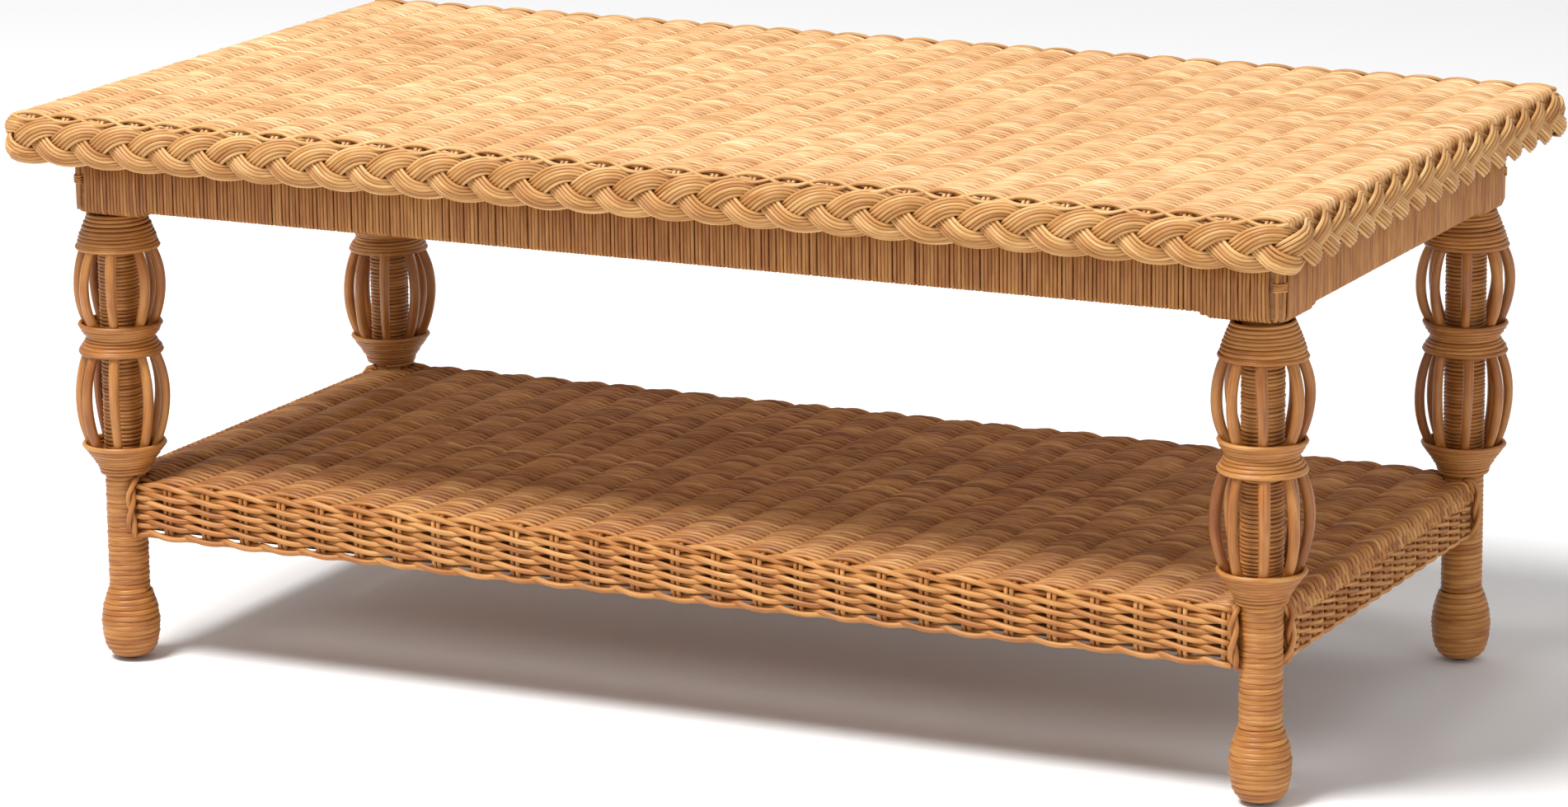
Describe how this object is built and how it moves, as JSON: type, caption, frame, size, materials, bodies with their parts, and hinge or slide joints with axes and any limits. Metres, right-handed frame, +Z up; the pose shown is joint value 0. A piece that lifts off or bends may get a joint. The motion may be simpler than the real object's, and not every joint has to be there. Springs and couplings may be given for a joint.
{
  "type": "wicker coffee table",
  "caption": "Rectangular wicker coffee table with a woven top, plaited edge, reed-wound apron, caged turned-look legs and a low woven shelf.",
  "frame": {"origin": "centre of the footprint, on the floor", "axes": "+X along the table's length to its right end, +Y to its back, +Z up"},
  "size_m": [1.08, 0.584, 0.45],
  "materials": {
    "top_reed": "fine peeled reed, pale honey, satin",
    "plait_reed": "round peeled reed plaited in three strands, honey, satin",
    "apron_reed": "round reed wound side by side, amber, satin",
    "leg_reed": "reed wound round the leg, amber brown, satin",
    "rib_cane": "bent cane with its skin on, amber brown, satin",
    "shelf_reed": "peeled reed, amber, satin",
    "rattan_pole": "straight rattan pole, sanded",
    "frame_wood": "planed softwood, unfinished",
    "screw_steel": "zinc plated",
    "glide_plastic": "matte brown"
  },
  "bodies": {
    "root": {"front_left_pole": "rattan_pole", "front_right_pole": "rattan_pole", "back_left_pole": "rattan_pole", "back_right_pole": "rattan_pole", "front_left_foot": "leg_reed", "front_right_foot": "leg_reed", "back_left_foot": "leg_reed", "back_right_foot": "leg_reed", "front_left_lower_cup": "leg_reed", "front_right_lower_cup": "leg_reed", "back_left_lower_cup": "leg_reed", "back_right_lower_cup": "leg_reed", "front_left_lower_ribs": "rib_cane", "front_right_lower_ribs": "rib_cane", "back_left_lower_ribs": "rib_cane", "back_right_lower_ribs": "rib_cane", "front_left_waist_cup": "leg_reed", "front_right_waist_cup": "leg_reed", "back_left_waist_cup": "leg_reed", "back_right_waist_cup": "leg_reed", "front_left_upper_ribs": "rib_cane", "front_right_upper_ribs": "rib_cane", "back_left_upper_ribs": "rib_cane", "back_right_upper_ribs": "rib_cane", "front_left_collar": "leg_reed", "front_right_collar": "leg_reed", "back_left_collar": "leg_reed", "back_right_collar": "leg_reed", "front_plait": "plait_reed", "back_plait": "plait_reed", "left_plait": "plait_reed", "right_plait": "plait_reed", "front_top_batten": "frame_wood", "back_top_batten": "frame_wood", "left_top_batten": "frame_wood", "right_top_batten": "frame_wood", "front_apron_rail": "frame_wood", "back_apron_rail": "frame_wood", "left_apron_rail": "frame_wood", "right_apron_rail": "frame_wood", "front_shelf_rail": "frame_wood", "back_shelf_rail": "frame_wood", "left_shelf_rail": "frame_wood", "right_shelf_rail": "frame_wood", "front_shelf_side": "shelf_reed", "back_shelf_side": "shelf_reed", "left_shelf_side": "shelf_reed", "right_shelf_side": "shelf_reed", "pole_windings": "leg_reed", "corner_blocks": "frame_wood", "corner_windings": "apron_reed", "apron_windings": "apron_reed", "top_mat": "top_reed", "top_bearers": "frame_wood", "shelf_mat": "shelf_reed", "shelf_bearers": "frame_wood", "shelf_lashings": "shelf_reed", "shelf_dowels": "frame_wood", "frame_screws": "screw_steel", "floor_glides": "glide_plastic"}
  },
  "joints": []
}
